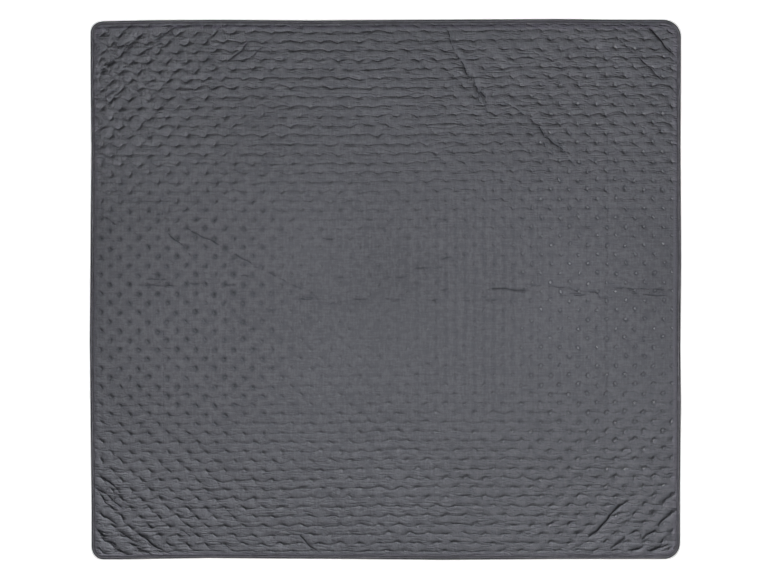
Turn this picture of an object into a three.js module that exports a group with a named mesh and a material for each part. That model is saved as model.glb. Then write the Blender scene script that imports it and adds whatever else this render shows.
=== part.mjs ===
import * as THREE from "three";

// A quilted blanket lying flat: +X to its right, +Y to its top edge, +Z up, in millimetres.
// The origin is the middle of its underside.
const WIDTH = 2200;
const LENGTH = 2012;
const CORNER_RADII = { topLeft: 52, topRight: 67, bottomLeft: 50, bottomRight: 61 };

// The quilting's tacks stand in rows. Each row is moved by half a pitch from the one below it.
const TACK_PITCH = 70.74;
const ROW_PITCH = 34.32;
const MIDDLE_TACK = { x: 3.5, y: -9.7 };
const ROW_SLOPE = 0.007; // the rows climb a little towards the right
const COLUMNS = 62; // half pitches between the left and right edges
const ROWS = 58;

// Heights of the upper face above the surface that the blanket lies on.
const TACK_HEIGHT = 2.2;
const PUFF_HEIGHT = 8.2;
const LOWEST_FACE = 1.8;
const PUFF_UNEVENNESS = 0.7;
const DRIFT = 2.6; // how far the tacks wander from true rows and columns

// The binding is a strip folded over the edge of the cloth, open on the inner side.
const BINDING_WIDTH = 14;
const BINDING_HEIGHT = 6.8;
const TAPE = 1.3;
const ROUNDING = 2.2;
const GAP = 0.5;
const CORNER_STEPS = 8;
const SIDE_STEPS = 24;

// How far each side is drawn in from the straight line, at places along it.
const LEFT_DIPS = [
  { at: -822, dip: 6.7 },
  { at: -465, dip: 2.6 },
  { at: -197, dip: 0 },
  { at: 93, dip: 2.2 },
  { at: 518, dip: 5.6 },
  { at: 786, dip: 3 },
];
const RIGHT_DIPS = [
  { at: -755, dip: 4.1 },
  { at: -420, dip: 0.7 },
  { at: -219, dip: 2.6 },
  { at: 116, dip: 0 },
  { at: 520, dip: 1.9 },
  { at: 830, dip: 0.7 },
];
const BOTTOM_DIPS = [
  { at: -987, dip: 1.5 },
  { at: -652, dip: 7.1 },
  { at: -429, dip: 5.2 },
  { at: -116, dip: 3.4 },
  { at: 219, dip: 0 },
  { at: 651, dip: 3.4 },
];
const TOP_DIPS = [
  { at: -1054, dip: 8.5 },
  { at: -876, dip: 4.5 },
  { at: -607, dip: 3 },
  { at: -273, dip: 5.2 },
  { at: 107, dip: 2.8 },
  { at: 651, dip: 0 },
  { at: 844, dip: 2.6 },
];

// Folds pressed into the cloth. A rise below 0 sinks the puffs by that share of their height,
// and one above 0 lifts them. The spread is how far to each side it is felt.
const FOLDS = [
  // long fold down from the top edge, right of the middle
  { x0: 234, y0: 960, x1: 390, y1: 685, rise: -0.55, spread: 26 },
  { x0: 262, y0: 975, x1: 425, y1: 690, rise: 0.22, spread: 24 },
  { x0: 476, y0: 678, x1: 700, y1: 469, rise: -0.5, spread: 26 },
  { x0: 500, y0: 700, x1: 725, y1: 490, rise: 0.2, spread: 24 },
  // puckers that rise to the right, near the top left corner
  { x0: -596, y0: 838, x1: -481, y1: 953, rise: -0.45, spread: 24 },
  { x0: -526, y0: 842, x1: -388, y1: 968, rise: -0.35, spread: 22 },
  { x0: -864, y0: 927, x1: -775, y1: 979, rise: -0.45, spread: 24 },
  { x0: -1075, y0: 800, x1: -905, y1: 970, rise: -0.5, spread: 24 },
  { x0: -1060, y0: 690, x1: -860, y1: 890, rise: -0.35, spread: 22 },
  // puckers that fall to the right, near the top right corner
  { x0: 967, y0: 990, x1: 1090, y1: 849, rise: -0.5, spread: 24 },
  { x0: 941, y0: 868, x1: 1060, y1: 749, rise: -0.4, spread: 22 },
  { x0: 850, y0: 950, x1: 950, y1: 850, rise: -0.3, spread: 22 },
  // puckers that fall to the right, near the bottom left corner
  { x0: -1080, y0: -703, x1: -980, y1: -800, rise: -0.45, spread: 24 },
  { x0: -1062, y0: -551, x1: -960, y1: -649, rise: -0.4, spread: 22 },
  { x0: -1073, y0: -850, x1: -960, y1: -960, rise: -0.5, spread: 24 },
  { x0: -909, y0: -890, x1: -850, y1: -956, rise: -0.35, spread: 22 },
  { x0: -332, y0: -908, x1: -246, y1: -986, rise: -0.45, spread: 24 },
  // puckers that rise to the right, near the bottom right corner
  { x0: 706, y0: -971, x1: 896, y1: -792, rise: -0.6, spread: 26 },
  { x0: 741, y0: -980, x1: 925, y1: -808, rise: 0.2, spread: 24 },
  { x0: 960, y0: -945, x1: 1086, y1: -826, rise: -0.5, spread: 24 },
  { x0: 930, y0: -880, x1: 1086, y1: -744, rise: -0.45, spread: 22 },
  // creases left by packing, across the middle and down the cloth
  { x0: -560, y0: 15, x1: 600, y1: -22, rise: -0.25, spread: 20 },
  { x0: 600, y0: -22, x1: 850, y1: -12, rise: -0.3, spread: 20 },
  { x0: 569, y0: -700, x1: 569, y1: 560, rise: -0.2, spread: 20 },
  { x0: 829, y0: -640, x1: 829, y1: 700, rise: -0.2, spread: 20 },
  { x0: -827, y0: -700, x1: -827, y1: 560, rise: -0.2, spread: 20 },
];

const CLOTH_COLOUR = 0x5c5d62;
const BINDING_COLOUR = 0x4c4d53;

// A number from -1 to 1 that is always the same for the same place.
function scatter(column, row, kind) {
  const wave = Math.sin(column * 12.9898 + row * 78.233 + kind * 37.719) * 43758.5453;
  return 2 * (wave - Math.floor(wave)) - 1;
}

function dipAt(dips, place) {
  const last = dips.length - 1;
  if (place <= dips[0].at) return dips[0].dip;
  if (place >= dips[last].at) return dips[last].dip;
  const next = dips.findIndex((row) => row.at > place);
  const before = dips[next - 1];
  const share = (place - before.at) / (dips[next].at - before.at);
  return THREE.MathUtils.lerp(before.dip, dips[next].dip, share);
}

// The point of the blanket's outline nearest to (x, y), moved in from the edge by inset.
function edgePoint(x, y, inset) {
  const side = x < 0 ? "Left" : "Right";
  const radius = CORNER_RADII[(y < 0 ? "bottom" : "top") + side];
  const coreX = WIDTH / 2 - radius;
  const coreY = LENGTH / 2 - radius;
  const core = new THREE.Vector2(
    THREE.MathUtils.clamp(x, -coreX, coreX),
    THREE.MathUtils.clamp(y, -coreY, coreY),
  );
  const out = new THREE.Vector2(x, y).sub(core).normalize();
  const sideDip = dipAt(x < 0 ? LEFT_DIPS : RIGHT_DIPS, y);
  const endDip = dipAt(y < 0 ? BOTTOM_DIPS : TOP_DIPS, x);
  const dip = out.x * out.x * sideDip + out.y * out.y * endDip;
  return core.addScaledVector(out, radius - inset - dip);
}

function latticePoint(column, row) {
  const acrossFromMiddle = column - COLUMNS / 2;
  const upFromMiddle = row - ROWS / 2;
  const x = MIDDLE_TACK.x + (acrossFromMiddle * TACK_PITCH) / 2;
  const y = MIDDLE_TACK.y + upFromMiddle * ROW_PITCH + x * ROW_SLOPE;
  const driftX = Math.sin(y / 150 + x / 700) + 0.5 * scatter(column, row, 1);
  const driftY = Math.sin(x / 190 - y / 600) + 0.5 * scatter(column, row, 2);
  return new THREE.Vector2(x + DRIFT * driftX * 0.6, y + DRIFT * driftY * 0.6);
}

// The share by which the folds lift or sink the quilting at a place.
function foldRise(place) {
  let rise = 0;
  for (const fold of FOLDS) {
    const start = new THREE.Vector2(fold.x0, fold.y0);
    const along = new THREE.Vector2(fold.x1, fold.y1).sub(start);
    const share = THREE.MathUtils.clamp(place.clone().sub(start).dot(along) / along.lengthSq(), 0, 1);
    const distance = place.distanceTo(start.addScaledVector(along, share));
    rise += fold.rise * Math.exp(-((distance / fold.spread) ** 2));
  }
  return rise;
}

function faceHeight(column, row, place) {
  if ((column + row) % 2 === 0) return TACK_HEIGHT;
  const loft = PUFF_HEIGHT - TACK_HEIGHT;
  const uneven = PUFF_UNEVENNESS * scatter(column, row, 3);
  return Math.max(LOWEST_FACE, TACK_HEIGHT + loft * (1 + foldRise(place)) + uneven);
}

// Strips of triangles between one ring of points and the next, each ring anticlockwise from above.
function joinRings(indices, rings) {
  for (let r = 1; r < rings.length; r += 1) {
    const upper = rings[r - 1];
    const lower = rings[r];
    for (let k = 0; k < upper.length; k += 1) {
      const next = (k + 1) % upper.length;
      indices.push(upper[k], lower[k], lower[next]);
      indices.push(upper[k], lower[next], upper[next]);
    }
  }
}

function closedBody(name, points, indices, colour) {
  const geometry = new THREE.BufferGeometry();
  geometry.setFromPoints(points);
  geometry.setIndex(indices);
  geometry.computeVertexNormals();
  const finish = new THREE.MeshStandardMaterial({ color: colour, roughness: 0.82, metalness: 0 });
  const mesh = new THREE.Mesh(geometry, finish);
  mesh.name = name;
  return mesh;
}

// The lattice's nodes round the edge, anticlockwise from the bottom left.
function rimNodes() {
  const nodes = [];
  for (let column = 0; column < COLUMNS; column += 1) nodes.push({ column, row: 0 });
  for (let row = 0; row < ROWS; row += 1) nodes.push({ column: COLUMNS, row });
  for (let column = COLUMNS; column > 0; column -= 1) nodes.push({ column, row: ROWS });
  for (let row = ROWS; row > 0; row -= 1) nodes.push({ column: 0, row });
  return nodes;
}

// The quilted cloth: tacks and puffs above, flat underneath, with a thin rim for the binding.
function quiltedPanel() {
  const shoulder = BINDING_WIDTH + GAP;
  const rimInset = TAPE + GAP;
  const rimTop = BINDING_HEIGHT - TAPE - GAP;
  const rimBottom = TAPE + GAP;
  const points = [];
  const indices = [];
  const nodeIndex = (column, row) => row * (COLUMNS + 1) + column;

  for (let row = 0; row <= ROWS; row += 1) {
    for (let column = 0; column <= COLUMNS; column += 1) {
      const place = latticePoint(column, row);
      const onEdge = column === 0 || row === 0 || column === COLUMNS || row === ROWS;
      if (onEdge) place.copy(edgePoint(place.x, place.y, shoulder));
      const height = onEdge ? rimTop : faceHeight(column, row, place);
      points.push(new THREE.Vector3(place.x, place.y, height));
    }
  }

  for (let row = 0; row < ROWS; row += 1) {
    for (let column = 0; column < COLUMNS; column += 1) {
      const a = nodeIndex(column, row);
      const b = nodeIndex(column + 1, row);
      const c = nodeIndex(column + 1, row + 1);
      const d = nodeIndex(column, row + 1);
      const tackAtA = (column + row) % 2 === 0;
      if (tackAtA) indices.push(a, b, d, b, c, d);
      else indices.push(a, b, c, a, c, d);
    }
  }

  const nodes = rimNodes();
  const rings = [nodes.map(({ column, row }) => nodeIndex(column, row))];
  const lowerRings = [
    { inset: rimInset, z: rimTop },
    { inset: rimInset, z: rimBottom },
    { inset: shoulder, z: rimBottom },
    { inset: shoulder, z: 0 },
  ];
  for (const { inset, z } of lowerRings) {
    const ring = nodes.map(({ column, row }) => {
      const place = latticePoint(column, row);
      const edge = edgePoint(place.x, place.y, inset);
      return points.push(new THREE.Vector3(edge.x, edge.y, z)) - 1;
    });
    rings.push(ring);
  }
  joinRings(indices, rings);

  const middle = points.push(new THREE.Vector3(0, 0, 0)) - 1;
  const lowest = rings[rings.length - 1];
  lowest.forEach((index, k) => indices.push(index, middle, lowest[(k + 1) % lowest.length]));
  return closedBody("quilted_panel", points, indices, CLOTH_COLOUR);
}

// Places round the blanket, a little outside it: steps along each side and round each corner.
function bindingStations() {
  const stations = [];
  const corners = [
    { x: 1, y: -1, turn: -90, radius: CORNER_RADII.bottomRight },
    { x: 1, y: 1, turn: 0, radius: CORNER_RADII.topRight },
    { x: -1, y: 1, turn: 90, radius: CORNER_RADII.topLeft },
    { x: -1, y: -1, turn: 180, radius: CORNER_RADII.bottomLeft },
  ];
  const arcs = corners.map(({ x, y, turn, radius }) => {
    const centre = new THREE.Vector2(x * (WIDTH / 2 - radius), y * (LENGTH / 2 - radius));
    const steps = Array.from({ length: CORNER_STEPS + 1 }, (_, k) => turn + (90 * k) / CORNER_STEPS);
    return steps.map((degrees) => {
      const angle = THREE.MathUtils.degToRad(degrees);
      return centre.clone().add(new THREE.Vector2(Math.cos(angle), Math.sin(angle)).multiplyScalar(radius));
    });
  });
  arcs.forEach((arc, k) => {
    const from = arc[CORNER_STEPS];
    const to = arcs[(k + 1) % arcs.length][0];
    stations.push(...arc);
    for (let step = 1; step < SIDE_STEPS; step += 1) {
      stations.push(from.clone().lerp(to, step / SIDE_STEPS));
    }
  });
  return stations;
}

// The folded strip's section, from the upper lip over the outer fold and back along the inside.
function edgeBinding() {
  const lipTop = BINDING_HEIGHT - 0.3;
  const section = [
    { inset: BINDING_WIDTH, z: lipTop },
    { inset: ROUNDING, z: BINDING_HEIGHT },
    { inset: 0, z: BINDING_HEIGHT - ROUNDING },
    { inset: 0, z: ROUNDING },
    { inset: ROUNDING, z: 0 },
    { inset: BINDING_WIDTH, z: 0 },
    { inset: BINDING_WIDTH, z: TAPE },
    { inset: TAPE, z: TAPE },
    { inset: TAPE, z: BINDING_HEIGHT - TAPE },
    { inset: BINDING_WIDTH, z: BINDING_HEIGHT - TAPE },
  ];
  const points = [];
  const indices = [];
  const stations = bindingStations();
  const rings = section.map(({ inset, z }) =>
    stations.map((station) => {
      const edge = edgePoint(station.x, station.y, inset);
      return points.push(new THREE.Vector3(edge.x, edge.y, z)) - 1;
    }),
  );
  joinRings(indices, [...rings, rings[0]]);
  return closedBody("edge_binding", points, indices, BINDING_COLOUR);
}

const blanket = new THREE.Group();
blanket.add(quiltedPanel(), edgeBinding());

export default blanket;
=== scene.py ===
"""A quilted blanket lying flat, seen from straight above: its cloth, binding, stitching and light."""
import math
import bpy
import numpy as np
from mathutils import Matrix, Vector


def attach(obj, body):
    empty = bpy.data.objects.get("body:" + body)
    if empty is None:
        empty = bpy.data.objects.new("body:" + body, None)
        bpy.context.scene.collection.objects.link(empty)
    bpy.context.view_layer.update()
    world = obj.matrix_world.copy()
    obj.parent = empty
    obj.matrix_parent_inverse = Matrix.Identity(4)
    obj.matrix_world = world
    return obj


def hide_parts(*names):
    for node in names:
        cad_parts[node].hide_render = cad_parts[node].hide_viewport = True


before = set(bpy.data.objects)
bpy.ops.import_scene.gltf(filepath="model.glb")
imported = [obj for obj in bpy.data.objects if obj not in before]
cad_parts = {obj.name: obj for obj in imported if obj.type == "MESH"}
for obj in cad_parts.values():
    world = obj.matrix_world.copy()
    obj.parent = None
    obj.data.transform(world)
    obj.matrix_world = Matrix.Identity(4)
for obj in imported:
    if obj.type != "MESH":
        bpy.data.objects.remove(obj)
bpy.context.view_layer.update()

# Lengths are in millimetres up to the meshes, which are made in metres.
MM = 0.001
WIDTH = 2200.0
LENGTH = 2012.0
CORNER_RADII = {"topLeft": 52.0, "topRight": 67.0, "bottomLeft": 50.0, "bottomRight": 61.0}

# The quilting's tacks stand in rows. Each row is moved by half a pitch from the one below it.
TACK_PITCH = 70.74
HALF_TACK = TACK_PITCH / 2
ROW_PITCH = 34.32
SLANT_PITCH = 49.2
MIDDLE_TACK = (3.5, -9.7)
MIDDLE_COLUMN = 31
MIDDLE_ROW = 29
ROW_SLOPE = 0.007
TACK_DRIFT = 1.56

# Heights above the surface that the blanket lies on: the upper face at a tack, what the puffs add to
# it, the face where it meets the binding, and the lower side of the rim inside the binding.
TACK_HEIGHT = 2.0
LOFT = 6.0
SHOULDER_HEIGHT = 4.0
RIM_BOTTOM = 1.9
RIM_INSET = 2.4

# How far each side is drawn in from the straight line, at places along it. Below 0 it stands out.
LEFT_DIPS = [(-822, 6.7), (-465, 2.6), (-197, 0), (93, 2.2), (518, 5.6), (786, 3)]
RIGHT_DIPS = [(-755, 2.1), (-420, -1.3), (-219, 0.6), (116, -2), (520, -0.1), (830, -1.3)]
BOTTOM_DIPS = [(-987, -0.5), (-652, 4.6), (-429, 2.7), (-116, 0.9), (219, -2.5), (651, 0.9)]
TOP_DIPS = [(-1054, 8.5), (-876, 4.5), (-607, 3), (-273, 5.2), (107, 2.8), (651, 0), (844, 2.6)]

# Folds pressed into the cloth: from x0, y0 to x1, y1, rise in millimetres, spread to each side.
FOLDS = [
    # long fold down from the top edge, right of the middle
    (226, 984, 258, 884, -3.0, 7),
    (256, 892, 318, 786, -3.6, 8),
    (304, 812, 386, 688, -4.6, 9),
    (284, 880, 412, 700, 2.0, 13),
    (250, 800, 286, 770, -2.0, 6),
    (330, 800, 352, 690, -2.0, 7),
    (372, 742, 384, 640, -1.8, 7),
    (470, 684, 566, 616, -2.6, 7),
    (548, 626, 676, 500, -4.2, 8),
    (640, 532, 716, 452, -2.4, 7),
    (560, 640, 700, 510, 1.6, 12),
    (588, 560, 612, 486, -1.6, 7),
    # puckers that rise to the right, near the top left corner
    (-1021, 884, -940, 926, -4.0, 8),
    (-1074, 856, -1020, 874, -2.4, 7),
    (-1074, 822, -1012, 854, -2.2, 7),
    (-944, 922, -886, 956, -3.8, 8),
    (-1030, 884, -1002, 908, -2.2, 7),
    (-962, 892, -930, 912, -3.2, 8),
    (-900, 886, -818, 922, -3.2, 8),
    (-864, 927, -768, 981, -4.0, 9),
    (-596, 838, -500, 925, -4.0, 9),
    (-526, 842, -410, 945, -2.4, 8),
    (-1078, 806, -985, 872, -3.6, 9),
    (-1062, 700, -985, 758, -2.6, 9),
    # puckers that fall to the right, near the top right corner
    (967, 985, 1086, 866, -4.0, 9),
    (941, 868, 1040, 770, -3.0, 9),
    (850, 950, 930, 876, -2.6, 9),
    # puckers that fall to the right, near the bottom left corner
    (-1088, -734, -966, -822, -4.3, 8),
    (-1064, -692, -982, -760, -3.7, 7),
    (-1080, -888, -1036, -950, -3.8, 8),
    (-1044, -938, -992, -958, -4.2, 8),
    (-1052, -842, -990, -884, -3.2, 8),
    (-1004, -896, -904, -954, -3.8, 8),
    (-1024, -970, -934, -992, -4.2, 7),
    (-936, -904, -814, -984, -4.1, 8),
    (-934, -962, -872, -988, -3.8, 8),
    (-774, -893, -716, -922, -3.4, 8),
    (-332, -908, -246, -986, -3.6, 9),
    # puckers that rise to the right, near the bottom right corner
    (744, -938, 904, -786, -5.4, 6),
    (690, -972, 748, -944, -3.0, 6),
    (830, -976, 898, -924, -4.0, 6),
    (912, -980, 970, -954, -3.6, 6),
    (980, -984, 1062, -944, -4.6, 7),
    (946, -938, 1010, -896, -3.6, 6),
    (1004, -894, 1090, -814, -4.0, 6),
    (1024, -806, 1090, -746, -3.8, 6),
    (1030, -704, 1088, -672, -2.6, 6),
    # creases left by packing, across the middle and down the cloth
    (-1080, 110, -1046, 108, -3.0, 5),
    (-1018, 180, -976, 178, -3.0, 5),
    (-930, 13, -776, 12, -2.9, 5),
    (-898, 36, -800, 36, -2.6, 5),
    (-732, 21, -670, 19, -2.8, 5),
    (-604, 16, -556, 14, -3.1, 5),
    (-542, 50, -498, 46, -2.9, 5),
    (-1062, 280, -990, 232, -2.9, 7),
    (-868, 288, -806, 256, -2.7, 7),
    (-822, 214, -748, 156, -3.1, 7),
    (-754, 162, -700, 92, -2.8, 7),
    (-752, 234, -606, 156, -3.1, 7),
    (-612, 158, -446, 64, -2.7, 7),
    (-452, 68, -243, -35, -2.5, 7),
    (-242, 190, -190, 184, -3.0, 5),
    (-215, 40, -110, 46, -2.8, 5),
    (-340, -38, -240, -38, -2.7, 5),
    (-130, -38, -50, -38, -3.0, 5),
    (-20, -39, 60, -38, -2.6, 5),
    (120, -39, 200, -40, -2.8, 5),
    (280, -40, 430, -41, -2.6, 5),
    (-240, -54, -96, -58, -2.4, 5),
    (-15, 40, 110, 46, -2.6, 5),
    (100, 76, 222, 84, -2.9, 5),
    (210, 112, 262, 124, -3.1, 5),
    (210, -2, 262, 0, -2.6, 5),
    (370, -1, 545, -1, -3.5, 5),
    (524, 15, 582, 13, -3.0, 5),
    (600, 12, 706, 4, -2.7, 5),
    (640, -23, 764, -20, -2.7, 5),
    (696, -2, 806, -14, -2.8, 5),
    (800, 10, 1088, -4, -2.9, 5),
    (760, -26, 904, -24, -2.6, 5),
    (900, -14, 1062, -26, -2.7, 5),
    (569, -700, 569, 560, -0.9, 9),
    (829, -640, 829, 700, -0.9, 9),
    (-827, -700, -827, 560, -0.9, 9),
]

# Noise and outline

NOISE_SIDE = 256
NO_GAP = 1e-9


def soft_noise(across, up, seed):
    """Smooth noise from -1 to 1, with a hill or a hollow in each unit of either coordinate."""
    table = np.random.default_rng(seed).uniform(-1, 1, (NOISE_SIDE, NOISE_SIDE))
    column = np.floor(across).astype(int)
    row = np.floor(up).astype(int)
    s = across - column
    t = up - row
    s = s * s * (3 - 2 * s)
    t = t * t * (3 - 2 * t)
    left = column % NOISE_SIDE
    right = (column + 1) % NOISE_SIDE
    near = row % NOISE_SIDE
    far = (row + 1) % NOISE_SIDE
    low = table[left, near] * (1 - s) + table[right, near] * s
    high = table[left, far] * (1 - s) + table[right, far] * s
    return low * (1 - t) + high * t


def dice(column, row, seed):
    """A number from 0 to 1 for each whole column and row."""
    table = np.random.default_rng(seed).uniform(0, 1, (NOISE_SIDE, NOISE_SIDE))
    return table[column.astype(int) % NOISE_SIDE, row.astype(int) % NOISE_SIDE]


def smoothstep(low, high, value):
    """0 up to low, 1 from high on, and a smooth rise between them."""
    t = np.clip((value - low) / (high - low), 0, 1)
    return t * t * (3 - 2 * t)


def dip_at(dips, place):
    """How far a side is drawn in at a place along it."""
    places, depths = zip(*dips)
    return np.interp(place, places, depths)


def corner_radius(x, y):
    """The radius of the corner in the quarter that a place lies in."""
    top = np.where(x < 0, CORNER_RADII["topLeft"], CORNER_RADII["topRight"])
    bottom = np.where(x < 0, CORNER_RADII["bottomLeft"], CORNER_RADII["bottomRight"])
    return np.where(y < 0, bottom, top)


def from_edge(x, y):
    """The outline's direction at the nearest place of the edge, the inset from it, and its dip."""
    radius = corner_radius(x, y)
    core_x = np.clip(x, radius - WIDTH / 2, WIDTH / 2 - radius)
    core_y = np.clip(y, radius - LENGTH / 2, LENGTH / 2 - radius)
    reach = np.hypot(x - core_x, y - core_y)
    safe = np.maximum(reach, NO_GAP)
    out_x = (x - core_x) / safe
    out_y = (y - core_y) / safe
    side_dip = np.where(x < 0, dip_at(LEFT_DIPS, y), dip_at(RIGHT_DIPS, y))
    end_dip = np.where(y < 0, dip_at(BOTTOM_DIPS, x), dip_at(TOP_DIPS, x))
    dip = out_x**2 * side_dip + out_y**2 * end_dip
    return out_x, out_y, radius - reach, dip


# Lattice

# How far the creases sag between the tacks, and lean over at them, as shares of a row's pitch.
SAG = 0.21
SHEAR = 0.18

# The lattice runs straight along the border, and strays freely from the second of these insets.
BORDER_FADE = (14.0, 58.0)


def lattice_at(x, y):
    """How many half pitches and rows a place lies from the corner of the straight lattice."""
    column = (x - MIDDLE_TACK[0]) / HALF_TACK + MIDDLE_COLUMN
    row = (y - MIDDLE_TACK[1]) / ROW_PITCH + MIDDLE_ROW
    return column, row


def zones(x, y):
    """How strongly the rows, the rising and the falling diagonals are creased at a place."""
    nx = x / (WIDTH / 2)
    ny = y / (LENGTH / 2)
    ends = smoothstep(0.04, 0.82, np.abs(ny + 0.06))
    start = 0.15 + 0.1 * smoothstep(-0.5, 0.5, nx)
    right = 1 - 0.65 * smoothstep(0, 0.4, nx)
    rising = right * smoothstep(start, start + 0.65, -nx * ny)
    falling = right * smoothstep(start, start + 0.65, nx * ny)
    return 0.05 + 0.95 * ends, rising, falling


def drift(x, y):
    """How far the tacks' real columns and rows lie from the straight ones, in millimetres."""
    right = TACK_DRIFT * np.sin(y / 150 + x / 700)
    right = right + 10 * smoothstep(-450, 150, x) * (1 - 0.5 * smoothstep(600, 900, x))
    right = right + 5 * smoothstep(500, 900, -x) * smoothstep(400, 800, np.abs(y))
    up = ROW_SLOPE * x + TACK_DRIFT * np.sin(x / 190 - y / 600)
    up = up - 3.5 - 6 * smoothstep(100, 850, -y)
    up = up + 10.5 * smoothstep(300, 850, y) * (0.5 + 0.5 * smoothstep(-1000, -450, x))
    return right, up


def wander(x, y, column, row):
    """How far a place of the straight lattice strays, in millimetres.

    The creases sag outwards between the tacks. Towards the corners they lean over at each tack.
    """
    _, rising, falling = zones(x, y)
    even_row = 1 - 2 * np.abs(row - 2 * np.round(row / 2))
    wave = np.sin(np.pi * column) * even_row + 0.3 * np.sin(2 * np.pi * column)
    slack = (1 - np.cos(np.pi * column) * even_row) / 2
    slack = slack * (0.7 + 0.6 * soft_noise(column / 1.5, row / 1.1, 14))
    lean = rising - 0.8 * falling + 0.3 * soft_noise(column / 3.1, row / 1.7, 15)
    up = SHEAR * lean * wave + SAG * slack * np.clip(y / 300, -1, 1)
    up = up + 0.12 * soft_noise(column / 0.9, row / 1.5, 11)
    up = up + 0.09 * soft_noise(column / 0.42, row / 1.3, 12)
    across = 0.1 * soft_noise(column / 1.3, row / 0.8, 13)
    across = across + 0.6 * SAG * slack * np.clip(x / 500, -1, 1)
    border = smoothstep(*BORDER_FADE, np.minimum(WIDTH / 2 - np.abs(x), LENGTH / 2 - np.abs(y)))
    drift_x, drift_y = drift(x, y)
    return border * (drift_x + HALF_TACK * across), border * (drift_y + ROW_PITCH * up)


# Relief

# The creases' depths as shares of the loft, the widths of their walls, and how much steeper the wall
# is on the side of the blanket's middle.
ROW_DEPTH = 0.72
ROW_WALL = 3.5
SLANT_DEPTH = 0.5
SLANT_WALL = 4.6
WALL_LEAN = 0.45

# Each tack's pit: where its flat bottom ends and its rim lies, and how far the rim leans outwards.
PIT_BOTTOM = 2.6
PIT_RIM = 10.5
PIT_LEAN = 0.35

# The links between tacks differ in strength: most of the diagonal ones are faint.
SLANT_FAINTNESS = 3.5
STRONGEST_ROW = 1.1

# Shallow folds run straighter than those that are deeper than this range. A fold is drawn by the
# cloth's material too, within this distance of its line.
STRAIGHT_FOLDS = (2.7, 3.6)
SHARP_FOLD = 12.0
NO_FOLD_NEAR = 1000.0


def outward(x, y):
    """The direction away from the blanket's middle, and how far out a place lies, up to 1."""
    distance = np.hypot(x, y)
    safe = np.maximum(distance, 1)
    return x / safe, y / safe, np.clip(distance / 500, 0, 1)


def pit_shade_and_glint_at(x, y):
    """How strongly the tacks on the left are darkened by painted shade, partly pressed pile; below 0, how
    strongly the tacks on the right get painted highlights instead.
    """
    shaded_pits = smoothstep(200, 650, -x) * (1 - smoothstep(260, 600, np.abs(y + 90)))
    painted_glint = smoothstep(380, 720, x) * (1 - 0.3 * smoothstep(500, 900, np.abs(y)))
    painted_glint = np.maximum(painted_glint, 0.3 * smoothstep(350, 700, np.abs(y)))
    return np.where(shaded_pits > 0.02, shaded_pits, -painted_glint * (1 - smoothstep(0, 0.02, shaded_pits)))


def pit_share(x, y):
    """How deep the tacks' pits are: shallower to the left and to the right of the middle."""
    side = np.maximum(smoothstep(50, 350, -x), smoothstep(0, 300, x))
    side = side * (1 - smoothstep(250, 700, np.abs(y + 60)))
    ends = smoothstep(350, 800, np.abs(y)) * (1 - smoothstep(500, 900, -x))
    return 1 - 0.72 * side - 0.32 * ends


def pressed_in(x, y):
    """How deep the creases are pressed in: deepest in the two left corners."""
    return 0.7 + 0.22 * smoothstep(100, 800, -x) * smoothstep(350, 800, np.abs(y))


def pull(x, y):
    """The way in which the cloth is pulled into pleats at a place, and how long the tacks' pits get."""
    nx = x / (WIDTH / 2)
    ny = y / (LENGTH / 2)
    turn = np.arctan2(nx * 0.9, -ny * 1.15) + 0.45 * soft_noise(x / 130, y / 90, 71)
    row_zone, rising, falling = zones(x, y)
    stretch = 1 + 0.8 * np.clip(np.maximum(row_zone * 0.8, np.maximum(rising, falling)), 0, 1)
    return np.cos(turn), np.sin(turn), stretch


def crease_strengths(x, y, column, row):
    """How deep the creases along the rows and the two diagonals are, which changes from tack to tack."""
    row_zone, rising_zone, falling_zone = zones(x, y)
    corner = np.maximum(rising_zone, falling_zone)
    nearest = np.round(row)
    from_tack = (column - nearest + 1) % 2 - 1
    at_tack = (1 + np.cos(np.pi * from_tack)) / 2
    tack = 0.55 + 0.35 * corner + 0.4 * dice(np.round(column - from_tack), nearest, 30)
    link = dice(np.floor((column - nearest) / 2), nearest, 31) * (1 - 0.7 * corner)
    link = link * (1 - 0.3 * smoothstep(-300, 400, x)) * (1 - 0.3 * smoothstep(200, 700, -y))
    patchy = 0.82 + 0.45 * soft_noise(column / 0.4, row / 0.8, 35)
    row_strength = row_zone * patchy * (tack * at_tack + link * (1 - at_tack))
    p = (column + row) / 2
    q = (column - row) / 2
    rising = rising_zone * dice(np.floor(p), np.round(q), 32) ** SLANT_FAINTNESS
    falling = falling_zone * dice(np.floor(q), np.round(p), 33) ** SLANT_FAINTNESS
    return np.clip(row_strength, 0, STRONGEST_ROW), rising, falling


def fold_rise(x, y):
    """The folds' rise at a place, its distance from the nearest sunk fold, and how sharp that one is."""
    rise = np.zeros_like(x)
    nearest = np.full_like(x, NO_FOLD_NEAR)
    sharp = np.zeros_like(x)
    for x0, y0, x1, y1, depth, spread in FOLDS:
        dx = x1 - x0
        dy = y1 - y0
        along = np.hypot(dx, dy)
        share = ((x - x0) * dx + (y - y0) * dy) / along**2
        inside = np.clip(share, 0, 1)
        loose = 0.2 + 0.8 * smoothstep(*STRAIGHT_FOLDS, abs(depth))
        bend = loose * min(5, along / 40) * np.sin(inside * 7 + x0)
        wobble = bend + 1.2 * np.sin(along * inside / 9 + y0)
        side = ((y - y0) * dx - (x - x0) * dy) / along - wobble
        past = (share - inside) * along
        distance = np.hypot(side, past)
        fade = smoothstep(0, 0.2, inside) * (1 - smoothstep(0.8, 1, inside))
        rise += depth * (0.3 + 0.7 * fade) * np.exp(-((distance / spread) ** 2))
        if depth < 0:
            closer = distance < np.abs(nearest)
            nearest = np.where(closer, side, nearest)
            sharp = np.where(closer, -depth * fade * (distance < SHARP_FOLD), sharp)
    return rise, nearest, sharp


def crease(distance, width):
    """A crease's depth beside its line, from 1 down to 0."""
    return np.exp(-((np.abs(distance) / width) ** 1.25))


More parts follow.
